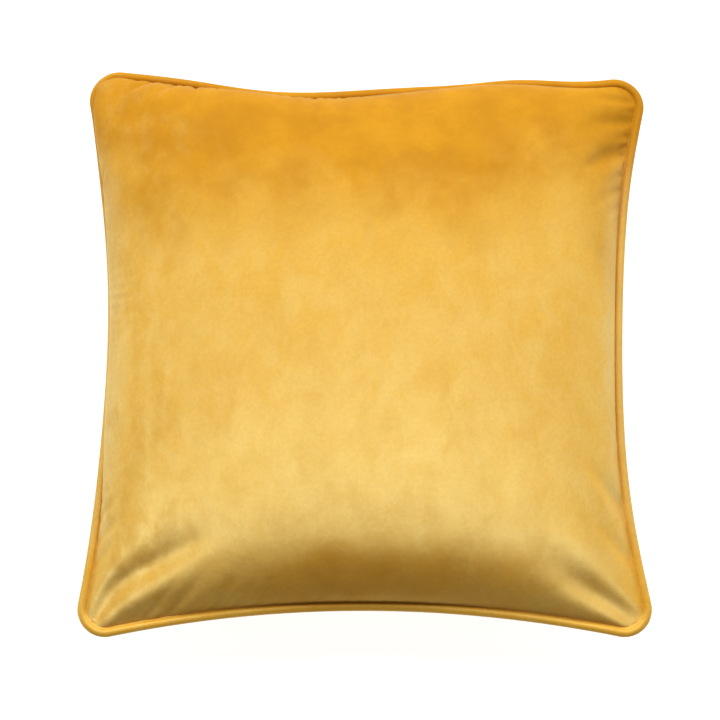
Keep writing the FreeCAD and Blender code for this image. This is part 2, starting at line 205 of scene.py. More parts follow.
def flat_cut(across, along):
    """The flat cut as a grid of points, its corners rounded."""
    x, y = np.meshgrid(across, along, indexing="ij")
    inner = CUT_SIDE / 2 - CUT_CORNER
    over_x = np.clip((np.abs(x) - inner) / CUT_CORNER, 0, 1)
    over_y = np.clip((np.abs(y) - inner) / CUT_CORNER, 0, 1)
    corner = (over_x > 0) & (over_y > 0)
    round_x = inner + CUT_CORNER * over_x * np.sqrt(1 - over_y ** 2 / 2)
    round_y = inner + CUT_CORNER * over_y * np.sqrt(1 - over_x ** 2 / 2)
    x = np.where(corner, np.sign(x) * round_x, x)
    y = np.where(corner, np.sign(y) * round_y, y)
    return np.stack([x, y, np.zeros_like(x)], axis=2)


def rolled_stretches(cut):
    """Each stretch of rolled seam: its axis, how much cloth with the edge's sign, how far in from
    the edge every point of the cut is, and how near to the stretch along it.
    """
    for (x, y), reach, much in ROLLED:
        axis = 0 if abs(x) > abs(y) else 1
        edge, beside = (x, y) if axis == 0 else (y, x)
        inwards = np.abs(cut[:, :, axis] - edge)
        near = np.exp(-((cut[:, :, 1 - axis] - beside) / reach) ** 2)
        yield axis, math.copysign(much, edge), inwards, near


def rolled_cut(across, along, side):
    """The cut as the rolled seam shares it out between front and back."""
    cut = flat_cut(across, along)
    rolled = cut.copy()
    share = 1.0 if side > 0 else -BACK_SHARE
    for axis, much, inwards, near in rolled_stretches(cut):
        rolled[:, :, axis] += share * much * near * np.clip(1 - inwards / ROLLED_WIDTH, 0, 1)
    return rolled


def edge_loop(rows, columns):
    """Grid places round the edge, anticlockwise from the middle of the -Y side."""
    middle = rows // 2
    places = [(i, 0) for i in range(middle, rows)]
    places += [(rows, j) for j in range(columns)]
    places += [(i, columns) for i in range(rows, 0, -1)]
    places += [(0, j) for j in range(columns, 0, -1)]
    places += [(i, 0) for i in range(middle)]
    return tuple(np.array(places).T)


def grid_normals(points, side):
    """The cloth's outward normals: up from the front (side 1), down from the back (side -1)."""
    normals = np.cross(np.gradient(points, axis=0), np.gradient(points, axis=1)) * side
    return normals / np.maximum(np.linalg.norm(normals, axis=2, keepdims=True), 1e-12)


# Directions in which the cloth's points are tied: (rows, columns) apart, strength, and whether
# the tie only resists folding
TIES = (((1, 0), 1.0, False), ((0, 1), 1.0, False), ((1, 1), 0.25, False), ((1, -1), 0.25, False),
        ((2, 0), 0.06, True), ((0, 2), 0.06, True))


class Cloth:
    """A grid of points tied to their neighbours at the lengths of the flat cut."""

    def __init__(self, points, flat, fixed):
        self.points = points
        self.before = points.copy()
        self.free = np.where(fixed, 0.0, 1.0)[:, :, None]
        self.ties = []
        for step, strength, folding in TIES:
            for odd in (0, 1):
                self.tie(flat, step, odd, strength, folding)

    def tie(self, flat, step, odd, strength, folding):
        """Ties in one direction; every second one, so that no two share a point."""
        rows, columns = flat.shape[:2]
        down, right = step
        span = max(abs(down), abs(right))
        if down:
            first = np.array([i for i in range(rows - down) if (i // span) % 2 == odd])
            other = np.arange(max(0, -right), columns - max(0, right))
        else:
            first = np.arange(rows)
            other = np.array([j for j in range(columns - right) if (j // span) % 2 == odd])
        start = np.ix_(first, other)
        end = np.ix_(first + down, other + right)
        length = np.linalg.norm(flat[end] - flat[start], axis=2, keepdims=True)
        total = np.maximum(self.free[start] + self.free[end], 1e-9)
        shares = self.free[start] / total, self.free[end] / total
        self.ties.append((start, end, length, strength, folding, shares))

    def project(self, slack):
        """Moves the points of each tie towards its length once."""
        for start, end, length, strength, folding, shares in self.ties:
            gap = self.points[end] - self.points[start]
            size = np.maximum(np.linalg.norm(gap, axis=2, keepdims=True), 1e-9)
            error = (size - length) / size
            if folding:
                error = np.minimum(error, 0)
            else:
                error = np.where(error > 0, error, error * slack)
            move = gap * (error * strength)
            self.points[start] += move * shares[0]
            self.points[end] -= move * shares[1]

    def relax(self, steps, swell, side, slack, drag=0.9, passes=3, floor=None):
        """Swells the cloth along its normals until its ties hold it."""
        for _ in range(steps):
            velocity = (self.points - self.before) * drag
            self.before = self.points.copy()
            pressed = grid_normals(self.points, side) * swell
            self.points = self.points + (velocity + pressed) * self.free
            for _ in range(passes):
                self.project(slack)
            if floor is not None:
                under = self.points[:, :, 2] < floor
                self.points[:, :, 2][under] = floor
                self.before[under] = self.points[under]


def first_dome(flat, loop, rim, crown, side):
    """The flat cut drawn in to the seam line and raised to a rough dome."""
    rows, columns = flat.shape[0] - 1, flat.shape[1] - 1
    drawn = np.zeros_like(flat)
    drawn[loop] = rim - flat[loop]
    u = np.linspace(0, 1, rows + 1)[:, None, None]
    v = np.linspace(0, 1, columns + 1)[None, :, None]
    sides = ((1 - v) * drawn[:, :1] + v * drawn[:, -1:] + (1 - u) * drawn[:1] + u * drawn[-1:])
    corners = ((1 - u) * (1 - v) * drawn[0, 0] + u * (1 - v) * drawn[-1, 0]
               + (1 - u) * v * drawn[0, -1] + u * v * drawn[-1, -1])
    points = flat + sides - corners
    height = ((1 - (2 * u - 1) ** 2) * (1 - (2 * v - 1) ** 2)) ** 0.6
    points[:, :, 2] += side * crown * height[:, :, 0]
    return points


def zip_wall(across, along, whole_cut):
    """Places of the back panel's cloth beside the zip, and which points they hold."""
    x, y = np.meshgrid(across, along, indexing="ij")
    down = y + CUT_SIDE / 2
    whole_seam = lengths_along(seam_line(PANEL_INSET))[-1]
    angle = x * whole_seam / whole_cut / WALL_RADIUS
    height = EDGE_HEIGHT - down
    radius = WALL_RADIUS + WALL_STEP * np.clip((SLOT_LOW - height) / (SLOT_LOW - WALL_FOOT), 0, 1)
    places = np.stack([radius * np.sin(angle), ZIP_AXIS_Y + radius * np.cos(angle), height], axis=2)
    beside = np.abs(angle) * WALL_RADIUS < SLOT_HALF + HELD_PAST_SLOT
    held = (height > WALL_FOOT - 1e-6) & beside
    return places, held


def pad_press(cut, side):
    """How hard the pad presses on each point: less in the corners, which it doesn't fill."""
    press = np.ones(cut.shape[:2])
    for x in (-1, 1):
        for y in (-1, 1):
            away = np.hypot(cut[:, :, 0] - x * CUT_SIDE / 2, cut[:, :, 1] - y * CUT_SIDE / 2)
            press -= CORNER_EASE * np.exp(-(away / CORNER_REACH) ** 2)
    if side > 0:
        bulge = np.zeros(cut.shape[:2])
        for _, much, inwards, near in rolled_stretches(cut):
            bulge += abs(much) * near * np.exp(-(inwards / BULGE_WIDTH) ** 2)
        press *= 1 + BULGE * bulge
    return press[:, :, None]


# Folds that run in from the corners of the front: their two ends, half width and depth
FOLDS = (
    ((-0.208, -0.190), (-0.112, -0.142), 0.0060, 1.0),
    ((-0.206, -0.210), (-0.132, -0.192), 0.0050, 0.5),
    ((0.208, -0.204), (0.150, -0.174), 0.0060, 1.0),
    ((0.212, -0.125), (0.184, -0.108), 0.0045, 0.5),
    ((0.214, -0.160), (0.190, -0.152), 0.0045, 0.4),
    ((0.212, 0.163), (0.184, 0.150), 0.0050, 0.5),
    ((-0.190, 0.200), (-0.155, 0.165), 0.0090, 0.25),
)


def fold_pull(points):
    """How hard each point is drawn in by the folds."""
    pull = np.zeros(points.shape[:2])
    place = points[:, :, :2]
    for start, end, half_width, depth in FOLDS:
        start, end = np.array(start), np.array(end)
        run = end - start
        share = np.clip(((place - start) @ run) / (run @ run), 0, 1)
        away = np.linalg.norm(place - start - share[:, :, None] * run, axis=2)
        taper = np.sin(np.clip(share * 0.9 + 0.1, 0, 1) * math.pi) ** 0.7
        pull = np.maximum(pull, depth * taper * np.exp(-(away / half_width) ** 2))
    return pull[:, :, None]


def coarse_lines(side):
    """Places of the coarse cloth's threads across and along; the back's fall on the zip's slot."""
    edge = -CUT_SIDE / 2
    if side > 0:
        even = spread_lines([edge, -edge], [COARSE])
        return even, even
    across = spread_lines([edge, -CUT_SLOT_HALF, CUT_SLOT_HALF, -edge], SLOT_CELLS_X)
    stops = [edge + EDGE_HEIGHT - height for height in (SLOT_HIGH, SLOT_LOW, WALL_FOOT)]
    return across, spread_lines([edge, *stops, -edge], SLOT_CELLS_Y)


def sewn_panel(side):
    """The front (side 1) or back (side -1) panel, swollen by the pad inside it."""
    across, along = coarse_lines(side)
    levels = len(STEPS)
    for level in range(levels):
        cut = flat_cut(across, along)
        loop = edge_loop(len(across) - 1, len(along) - 1)
        around = lengths_along(cut[loop])
        rim = seam_points(PANEL_INSET, around[:-1] / around[-1], side * PLY)
        if level == 0:
            points = first_dome(cut, loop, rim, FIRST_CROWN, side)
        fixed = np.zeros(cut.shape[:2], bool)
        fixed[loop] = True
        points[loop] = rim
        if side < 0:
            places, held = zip_wall(across, along, around[-1])
            points[held] = places[held]
            fixed |= held
        cloth = Cloth(points, rolled_cut(across, along, side), fixed)
        swell = SWELL * pad_press(cut, side) / 4.0 ** level
        if side > 0 and level > 0:
            swell = swell * (1 - FOLD_STRENGTH * fold_pull(points))
        floor = 0.0 if side < 0 else None
        cloth.relax(STEPS[level], swell, side, slack=SLACK[level], floor=floor)
        points = cloth.points
        if level < levels - 1:
            points = halved(halved(points), axis=1)
            across, along = halved(across), halved(along)
    return points, across, along


# ---- meshes

def add_piece(name, points, faces, material, replaced):
    """A visible piece of the cushion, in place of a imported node."""
    mesh = bpy.data.meshes.new(name)
    mesh.from_pydata(np.asarray(points).tolist(), [], faces)
    mesh.shade_smooth()
    mesh.materials.append(material)
    piece = bpy.data.objects.new(name, mesh)
    bpy.context.scene.collection.objects.link(piece)
    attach(piece, "cushion")
    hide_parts(replaced)
    return piece


def thicken(piece, thickness):
    """Gives a sheet its thickness, inwards from its outer face."""
    solid = piece.modifiers.new("cloth_thickness", "SOLIDIFY")
    solid.thickness = thickness
    solid.offset = -1


def grid_faces(rows, columns, flipped=False, first=0, gap=None):
    """Quads of a grid of points, without the cells in gap = (row, row, column, column)."""
    faces = []
    for i in range(rows - 1):
        for j in range(columns - 1):
            if gap and gap[0] <= i < gap[1] and gap[2] <= j < gap[3]:
                continue
            corner = first + i * columns + j
            quad = (corner, corner + columns, corner + columns + 1, corner + 1)
            faces.append(quad[::-1] if flipped else quad)
    return faces


def ring_faces(inner, outer, flipped=False):
    """Quads between two closed loops of point numbers."""
    faces = []
    for k in range(len(inner)):
        after = (k + 1) % len(inner)
        quad = (inner[after], inner[k], outer[k], outer[after])
        faces.append(quad[::-1] if flipped else quad)
    return faces


def swept(stations, section_size, closed_section=True):
    """Quads of a closed sweep whose points are ordered station by station."""
    faces = []
    last = section_size if closed_section else section_size - 1
    for k in range(stations):
        here, there = k * section_size, (k + 1) % stations * section_size
        for i in range(last):
            after = (i + 1) % section_size
            faces.append((here + i, there + i, there + after, here + after))
    return faces


def unit(vectors):
    """Vectors brought to a length of 1."""
    return vectors / np.linalg.norm(vectors, axis=1, keepdims=True)


def dashes(starts, ends, radius, sides=6):
    """Short rounded stitches as one mesh: from each start to each end."""
    starts, ends = np.asarray(starts), np.asarray(ends)
    along = unit(ends - starts)
    lead = np.where(np.abs(along[:, 2:]) < 0.9, [[0.0, 0.0, 1.0]], [[0.0, 1.0, 0.0]])
    across = unit(np.cross(along, lead))
    other = np.cross(along, across)
    turns = np.linspace(0, 2 * math.pi, sides, endpoint=False)
    points, faces = [], []
    profile = ((0.0, 0.25), (0.12, 0.85), (0.5, 1.0), (0.88, 0.85), (1.0, 0.25))
    for number in range(len(starts)):
        first = len(points)
        for share, width in profile:
            middle = starts[number] * (1 - share) + ends[number] * share
            for turn in turns:
                out = across[number] * math.cos(turn) + other[number] * math.sin(turn)
                points.append(middle + out * radius * width)
        for ring in range(len(profile) - 1):
            for side in range(sides):
                after = (side + 1) % sides
                low = first + ring * sides
                faces.append((low + side, low + after, low + sides + after, low + sides + side))
        faces.append(tuple(range(first + sides - 1, first - 1, -1)))
        end = first + (len(profile) - 1) * sides
        faces.append(tuple(range(end, end + sides)))
    return points, faces


# ---- materials

def linear(red, green, blue):
    """A colour in linear light from its display values, 0 to 255."""
    parts = [value / 255 for value in (red, green, blue)]
    return [p / 12.92 if p <= 0.04045 else ((p + 0.055) / 1.055) ** 2.4 for p in parts] + [1.0]


def new_material(name):
    """A material, its node tree, and in that only the place on the piece."""
    material = bpy.data.materials.new(name)
    material.use_nodes = True
    tree = material.node_tree
    tree.nodes.clear()
    return material, tree, node(tree, "TexCoord").outputs["Object"]


def node(tree, kind, settings=None, **inputs):
    """A shader node. An input is a socket to link or a value.

    In an input's name _ stands for a space, and i0, i1 and so on are inputs by number.
    """
    made = tree.nodes.new("ShaderNode" + kind)
    for name, value in (settings or {}).items():
        setattr(made, name, value)
    for name, value in inputs.items():
        key = int(name[1:]) if name[0] == "i" and name[1:].isdigit() else name.replace("_", " ")
        socket = made.inputs[key]
        if isinstance(value, bpy.types.NodeSocket):
            tree.links.new(value, socket)
        else:
            socket.default_value = value
    return made


def finished(material, shader):
    """The material with the shader at its output."""
    node(material.node_tree, "OutputMaterial", Surface=shader.outputs[0])
    return material


def noise(tree, place, scale, detail=2.0, roughness=0.5, distortion=0.0, stretch=(1, 1, 1)):
    """A noise between 0 and 1 in the object's own space."""
    moved = node(tree, "Mapping", Vector=place, Scale=stretch)
    texture = node(tree, "TexNoise", Vector=moved.outputs[0], Scale=scale, Detail=detail,
                   Roughness=roughness, Distortion=distortion)
    return texture.outputs["Fac"]


def stepped(tree, value, low, high):
    """value turned to 0 below low and 1 above high, smoothly between."""
    made = node(tree, "MapRange", {"interpolation_type": "SMOOTHSTEP"}, Value=value)
    made.inputs["From Min"].default_value = low
    made.inputs["From Max"].default_value = high
    return made.outputs[0]


def scaled(tree, value, factor, offset=0.0):
    """value times factor plus offset; each can be a socket or a number."""
    made = node(tree, "Math", {"operation": "MULTIPLY_ADD"}, i0=value, i1=factor, i2=offset)
    return made.outputs[0]


def multiplied(tree, first, second):
    """The product of two values."""
    return node(tree, "Math", {"operation": "MULTIPLY"}, i0=first, i1=second).outputs[0]


def mixed(tree, share, first, second):
    """A share of the second colour mixed into the first."""
    return node(tree, "Mix", {"data_type": "RGBA"}, i0=share, i6=first, i7=second).outputs[2]


def bumps(tree, *layers):
    """Bump nodes in a row: each layer is a height, its strength and its distance in metres."""
    normal = None
    for height, strength, distance in layers:
        made = node(tree, "Bump", Height=height, Strength=strength, Distance=distance)
        if normal:
            tree.links.new(normal, made.inputs["Normal"])
        normal = made.outputs[0]
    return normal


GOLD = linear(233, 172, 36)
RICH_GOLD = linear(208, 145, 20)
DEEP_GOLD = linear(188, 126, 14)
PALE_GOLD = linear(238, 194, 92)
# paler gold painted as sheen along the -X and +X sides
PAINTED_SHEEN_GOLD = linear(222, 192, 124)
PAINTED_FIBRE_SHADE = [0.45, 0.20, 0.006, 1.0]      # painted shade between the fibres
NAP_SHEEN = linear(246, 232, 164)
NAP_LEAN = 0.56             # how far the tips of the pile lean towards +Y, as a slope
NAP_SHARE = 0.21            # share of the light that the tips of the pile turn back
PAINTED_SHADE_BAND = (0.018, -0.172), (0.120, 0.024)    # middle and half sizes of the long band of painted shade at the -Y side
RUFFLED_AND_SHADED_FROM = 0.300        # past this the nap is all rumpled and the colour painted shade: y, plus up to 0.25 of raggedness


def nap_outside_painted_shade(tree, place, broad, mottled):
    """Where the nap is laid towards -Y and the colour is not painted shade, from 0 to 1.

    It is low along the +Y side, where the nap is rumpled up, and in a long band above the middle
    of the -Y side; in both the colour is painted shade.
    """
    along = node(tree, "SeparateXYZ", Vector=place).outputs["Y"]
    ragged = scaled(tree, broad, 0.16, along)
    ragged = scaled(tree, mottled, 0.09, ragged)
    stroked_outside_painted_shade = scaled(tree, stepped(tree, ragged, RUFFLED_AND_SHADED_FROM, RUFFLED_AND_SHADED_FROM - 0.13), 0.97, 0.03)
    (x, y), (half_length, half_width) = PAINTED_SHADE_BAND
    shade_band_place = node(tree, "Mapping", Vector=place, Location=(-x / half_length, -y / half_width, 0.0),
                  Scale=(1 / half_length, 1 / half_width, 0.0))
    away = node(tree, "VectorMath", {"operation": "LENGTH"}, i0=shade_band_place.outputs[0]).outputs["Value"]
    outside = stepped(tree, scaled(tree, broad, 1.2, away), 0.9, 2.1)
    return multiplied(tree, stroked_outside_painted_shade, scaled(tree, outside, 0.75, 0.25))


def crush_marks(tree, place, mottled):
    """Soft upright smudges where the nap was crushed, most of them along the -X side.

    With them go the marks that they leave in the colour, and a frost of small pale patches.
    """
    smudges = stepped(tree, noise(tree, place, 30.0, 4.0, 0.6, 0.2, (1.4, 0.7, 1.0)), 0.40, 0.70)
    across = node(tree, "SeparateXYZ", Vector=place).outputs["X"]
    edge = stepped(tree, scaled(tree, mottled, 0.04, across), -0.090, -0.150)
    patches = noise(tree, place, 60.0, 4.0, 0.65, 0.0, (1.3, 0.8, 1.0))
    frost = multiplied(tree, stepped(tree, patches, 0.42, 0.75), edge)
    return smudges, multiplied(tree, smudges, scaled(tree, edge, 0.60, 0.40)), frost


def painted_side_sheen(tree, place, mottled):
    """1 along the drawn-in -X and +X sides, where a painted sheen makes the colour paler, as of the
    nap seen from its side.
    """
    apart = node(tree, "SeparateXYZ", Vector=place).outputs
    outwards = node(tree, "Math", {"operation": "ABSOLUTE"}, i0=apart["X"]).outputs[0]
    square = multiplied(tree, apart["Y"], apart["Y"])
    from_side = scaled(tree, square, -0.52, outwards)       # the sides curve out to the corners
    edge = stepped(tree, scaled(tree, mottled, 0.020, from_side), 0.186, 0.208)
    return multiplied(tree, edge, stepped(tree, square, 0.032, 0.012))


def pile_colour(tree, place, unevenness_and_sheen, mottled, stroked_outside_painted_shade, marks):
    """Gold where the nap lies down, pale where it turns, deeper where it is crushed; deeper gold as
    painted shade along the +Y side, where the nap is rumpled, and above the middle of the -Y side;
    paler as painted sheen along the -X and +X sides.
    """
    lying = noise(tree, place, 26.0, 5.0, 0.62)
    # Painted shade: deeper gold where the nap mask is low, along the +Y side and in the band above the
    # middle of the -Y side
    painted_shade_gold = mixed(tree, stepped(tree, lying, 0.30, 0.72), DEEP_GOLD, RICH_GOLD)
    colour = mixed(tree, stroked_outside_painted_shade, painted_shade_gold, GOLD)
    pale = scaled(tree, stepped(tree, mottled, 0.32, 0.66), 0.32 * unevenness_and_sheen)
    colour = mixed(tree, multiplied(tree, pale, stroked_outside_painted_shade), colour, PALE_GOLD)
    colour = mixed(tree, scaled(tree, marks, 0.28 * unevenness_and_sheen), colour, DEEP_GOLD)
    # Painted sheen: paler gold along the -X and +X sides
    painted_sheen_share = scaled(tree, painted_side_sheen(tree, place, mottled), 0.55 * unevenness_and_sheen)
    return mixed(tree, painted_sheen_share, colour, PAINTED_SHEEN_GOLD)


def tips_share(tree, share, unevenness_and_sheen, mottled, stroked_outside_painted_shade, marks, frost):
    """The share of the light that the tips of the pile turn back, more where the nap is frosted."""
    uneven = scaled(tree, mottled, 0.8 * share * unevenness_and_sheen, share * (1 - 0.40 * unevenness_and_sheen))
    uncrushed = scaled(tree, marks, -0.40 * unevenness_and_sheen, 1.0)
    turned = multiplied(tree, multiplied(tree, uneven, uncrushed), stroked_outside_painted_shade)
    return scaled(tree, frost, 0.12 * unevenness_and_sheen, turned)


def velvet(name, unevenness_and_sheen=1.0, lean=NAP_LEAN, share=NAP_SHARE):
    """Short-pile velvet: the pile has the dyed colour, and its leaning tips give the pale sheen.

    The nap lies unevenly, with soft mottling, and smudges where it was crushed. The colour also
    holds painted shade, deeper gold along the +Y side and above the middle of the -Y side and
    darker between the fibres, and a painted sheen along the -X and +X sides. The unevenness
    argument is how much of the mottling, the smudges and the painted side sheen shows.
    """
    material, tree, place = new_material(name)
    broad = noise(tree, place, 9.0, 3.0, 0.55, 0.6)
    mottled = noise(tree, place, 42.0, 4.0, 0.6, 0.6, (1.0, 0.8, 1.0))
    fibres = noise(tree, place, 1500.0, 3.0, 0.7, 0.0, (1.0, 0.6, 1.0))
    pile = noise(tree, place, 340.0, 4.0, 0.65, 0.3)
    # The nap mask is low where the colour is painted shade, along the +Y side and above the middle of
    # the -Y side
    stroked_outside_painted_shade = nap_outside_painted_shade(tree, place, broad, mottled)
    smudges, marks, frost = crush_marks(tree, place, mottled)
    colour = pile_colour(tree, place, unevenness_and_sheen, mottled, stroked_outside_painted_shade, marks)
    colour = mixed(tree, scaled(tree, stepped(tree, pile, 0.65, 0.35), 0.20), colour, DEEP_GOLD)
    # Painted shade between the fibres: a darker colour where the fine fibre noise is low
    painted_fibre_shade = mixed(tree, 0.16, colour, PAINTED_FIBRE_SHADE)
    colour = mixed(tree, stepped(tree, fibres, 0.3, 0.7), painted_fibre_shade, colour)
    relief = bumps(tree, (smudges, 0.12 * unevenness_and_sheen, 0.002), (mottled, 0.16 * unevenness_and_sheen, 0.0012),
                   (pile, 0.15, 0.0004), (fibres, 0.20, 0.00015))
    dyed = node(tree, "BsdfPrincipled", Base_Color=colour, Normal=relief,
                Roughness=scaled(tree, mottled, 0.16, 0.62), Specular_IOR_Level=0.12,
                Sheen_Weight=0.65, Sheen_Roughness=0.22, Sheen_Tint=linear(255, 240, 180))
    leaning = node(tree, "VectorMath", {"operation": "ADD"}, i0=relief, i1=(0.0, lean, 0.0))
    leaning = node(tree, "VectorMath", {"operation": "NORMALIZE"}, i0=leaning.outputs[0])
    tips = node(tree, "BsdfAnisotropic", Color=NAP_SHEEN, Roughness=0.55, Normal=leaning.outputs[0])
    turned = tips_share(tree, share, unevenness_and_sheen, mottled, stroked_outside_painted_shade, marks, frost)
    both = node(tree, "MixShader", i0=turned, i1=dyed.outputs[0], i2=tips.outputs[0])
    return finished(material, both)


def twisted_fibre(name, colour, dark, scale, roughness=0.85):
    """Cord, thread or wadding: fine fibres with a little colour variation."""
    material, tree, place = new_material(name)
    fibres = noise(tree, place, scale, 4.0, 0.65, 0.5)
    shade = mixed(tree, stepped(tree, fibres, 0.35, 0.65), dark, colour)
    shader = node(tree, "BsdfPrincipled", Base_Color=shade, Roughness=roughness,
                  Sheen_Weight=0.3, Sheen_Roughness=0.5,
                  Normal=bumps(tree, (fibres, 0.5, 0.3 / scale)))
    return finished(material, shader)


def woven(name, colour, dark, pitch):
    """Plain weave in the X and Z directions, threads a pitch apart."""
    material, tree, place = new_material(name)
    threads = []
    for direction in ("X", "Z"):
        wave = node(tree, "TexWave", {"bands_direction": direction}, Vector=place,
                    Scale=math.pi / 10 / pitch, Distortion=0.4)
        threads.append(wave.outputs["Fac"])
    weave = node(tree, "Math", {"operation": "MAXIMUM"}, i0=threads[0], i1=threads[1]).outputs[0]
    worn = noise(tree, place, 120.0, 3.0)
    shade = mixed(tree, weave, dark, colour)
    shade = mixed(tree, scaled(tree, worn, 0.25), shade, dark)
    shader = node(tree, "BsdfPrincipled", Base_Color=shade, Roughness=0.8,
                  Sheen_Weight=0.2, Sheen_Roughness=0.5,
                  Normal=bumps(tree, (weave, 0.6, pitch / 3)))
    return finished(material, shader)


def nylon(name):
    """Dyed nylon filament, glossy under a thin clear coat."""
    material, tree, place = new_material(name)
    tone = noise(tree, place, 300.0, 2.0)
    shade = mixed(tree, tone, linear(206, 140, 40), linear(228, 168, 66))
    shader = node(tree, "BsdfPrincipled", Base_Color=shade, Roughness=scaled(tree, tone, 0.15, 0.28),
                  IOR=1.53, Coat_Weight=0.3, Coat_Roughness=0.25)
    return finished(material, shader)


def brass(name):
    """Cast and tumbled zip metal: brass coloured, finely scratched, darker where it isn't rubbed."""
    material, tree, place = new_material(name)
    wear = noise(tree, place, 900.0, 4.0, 0.7)
    scratch = noise(tree, place, 2600.0, 2.0, 0.5, 0.0, (1.0, 1.0, 0.15))
    shade = mixed(tree, stepped(tree, wear, 0.4, 0.65), linear(180, 143, 78), linear(212, 176, 104))
    relief = bumps(tree, (scratch, 0.25, 0.00005), (wear, 0.2, 0.0001))
    shader = node(tree, "BsdfPrincipled", Base_Color=shade, Metallic=1.0, Normal=relief,
                  Roughness=scaled(tree, wear, 0.25, 0.20))
    return finished(material, shader)


# ---- the cover

FLANGE_INSETS = (0.0062, 0.0098)    # where the allowances bend, between the seam and their edge


def slot_cells():
    """The finest cloth's cells that the zip's slot leaves out: from and to, across and along."""
    fineness = 2 ** (len(STEPS) - 1)
    before, slot = SLOT_CELLS_X[:2]
    above, tall = SLOT_CELLS_Y[:2]
    return [fineness * cells for cells in (before, before + slot, above, above + tall)]


def add_panel(name, side, material, replaced):
    """A velvet panel with its seam allowance turned in over the piping's flange."""
    points, across, along = sewn_panel(side)
    rows, columns = points.shape[:2]
    loop = edge_loop(rows - 1, columns - 1)
    around = lengths_along(flat_cut(across, along)[loop])
    shares = around[:-1] / around[-1]
    faces = grid_faces(rows, columns, side < 0, gap=slot_cells() if side < 0 else None)
    vertices = [points.reshape(-1, 3)]
    total = rows * columns
    outer = np.arange(total).reshape(rows, columns)[loop]
    for inset in (*FLANGE_INSETS, INNER_EDGE):
        vertices.append(seam_points(inset, shares, side * PLY))
        inner = np.arange(total, total + len(shares))
        total += len(shares)
        faces += ring_faces(outer.tolist(), inner.tolist(), side < 0)
        outer = inner
    piece = add_piece(name, np.vstack(vertices), faces, material, replaced)
    thicken(piece, VELVET)
    return points


# ---- the piping

SLEEVE_STATIONS = 1100
SLEEVE_RADIUS = 0.0029
SLEEVE_VELVET = 0.0005
SLEEVE_HALF_PLY = 0.00055   # from the seam's level to the middle of a ply of the sleeve's flange
SLEEVE_NECK = 0.0042        # from the piping's centre to where the plies part to go round the cord
NECK_ANGLE = math.radians(24)
RIPPLE = 0.0175             # unevenness of the sleeve's size
CORD_RADIUS = 0.0021
CORD_STATIONS = 1400
CORD_SIDES = 18
CORD_LOBES = 3
CORD_TWISTS = 420           # how many times a lobe takes the next one's place, all round the seam
SEAM_STITCHES = 520


def sewn_ripple(shares):
    """The piping's size along the seam, about 1, as hand guided sewing leaves it uneven."""
    rng = np.random.default_rng(11)
    ripple = np.zeros_like(shares)
    for waves in (23, 41, 67, 118, 173, 260):
        ripple += np.sin(2 * math.pi * (waves * shares + rng.random())) / waves ** 0.45
    return 1 + RIPPLE * ripple


def sleeve_section():
    """The sleeve's bias strip across the seam as (inset, lift): in along one ply, round the cord."""
    upper = [(inset, SLEEVE_HALF_PLY) for inset in (INNER_EDGE, STITCH_INSET, FLANGE_INSETS[0])]
    upper.append((SLEEVE_NECK, SLEEVE_HALF_PLY * 1.3))
    angles = np.linspace(NECK_ANGLE, 2 * math.pi - NECK_ANGLE, 21)
    around = [(SLEEVE_RADIUS * math.cos(a), SLEEVE_RADIUS * math.sin(a)) for a in angles]
    lower = [(inset, -lift) for inset, lift in reversed(upper)]
    return upper + around + lower


def add_sleeve(material):
    """The velvet sleeve: a strip round the cord, its two plies sewn into the seam."""
    shares = np.arange(SLEEVE_STATIONS) / SLEEVE_STATIONS
    ripple = sewn_ripple(shares)[:, None]
    base = seam_points(0.0, shares)
    rows = []
    for inset, lift in sleeve_section():
        aside = seam_points(inset, shares, lift) - base
        rows.append(base + aside * (ripple if inset < SLEEVE_NECK else 1.0))
    points = np.stack(rows, axis=1)
    faces = swept(SLEEVE_STATIONS, points.shape[1], closed_section=False)
    sleeve = add_piece("piping_velvet_sleeve", points.reshape(-1, 3), faces, material,
                       "piping_sleeve")
    thicken(sleeve, SLEEVE_VELVET)


def add_cord(material):
    """The cord in the piping. Its section has lobes that turn as twisted yarn does."""
    shares = np.arange(CORD_STATIONS) / CORD_STATIONS
    base = seam_points(0.0, shares)
    inwards = (seam_points(0.001, shares) - base) / 0.001
    upwards = np.array([0.0, 0.0, 1.0])
    rows = []
    for turn in np.linspace(0, 2 * math.pi, CORD_SIDES, endpoint=False):
        phase = turn * CORD_LOBES / 2 - shares * CORD_TWISTS * math.pi
        size = CORD_RADIUS * (0.84 + 0.16 * np.abs(np.cos(phase)))
        rows.append(base + size[:, None] * (inwards * math.cos(turn) + upwards * math.sin(turn)))
    points = np.stack(rows, axis=1).reshape(-1, 3)
    faces = swept(CORD_STATIONS, CORD_SIDES)
    add_piece("piping_twisted_cord", points, faces, material, "piping_cord")


def add_seam_stitches(material):
    """Lock stitches through both allowances and the sleeve's flange."""
    shares = np.arange(SEAM_STITCHES) / SEAM_STITCHES
    starts, ends = [], []
    for side in (1, -1):
        lift = side * (PLY + VELVET + 0.0003)
        starts.append(seam_points(STITCH_INSET, shares, lift))
        ends.append(seam_points(STITCH_INSET, shares + 0.86 / SEAM_STITCHES, lift))
    points, faces = dashes(np.vstack(starts), np.vstack(ends), 0.00022)
    add_piece("seam_stitches", points, faces, material, "seam_thread")


# ---- the zip

CHAIN_HEIGHT = 0.0502
ZIP_RADIUS = SIDE_RADIUS + 0.0057
COIL_PITCH = 0.0015
COIL_NEAR, COIL_FAR = 0.00032, 0.0022   # from the chain's middle to a coil's two edges
COIL_HALF_DEEP = 0.00070
COIL_WIRE = 0.00027
COIL_STEPS = 12             # points of the wire in each loop
COIL_SIDES = 6
STITCH_ROWS = (0.0440, 0.0564)      # heights of the stitches under and over the slot
ROW_STITCHES = 92
BAR_STITCHES = 4
BAR_PITCH = 0.0031


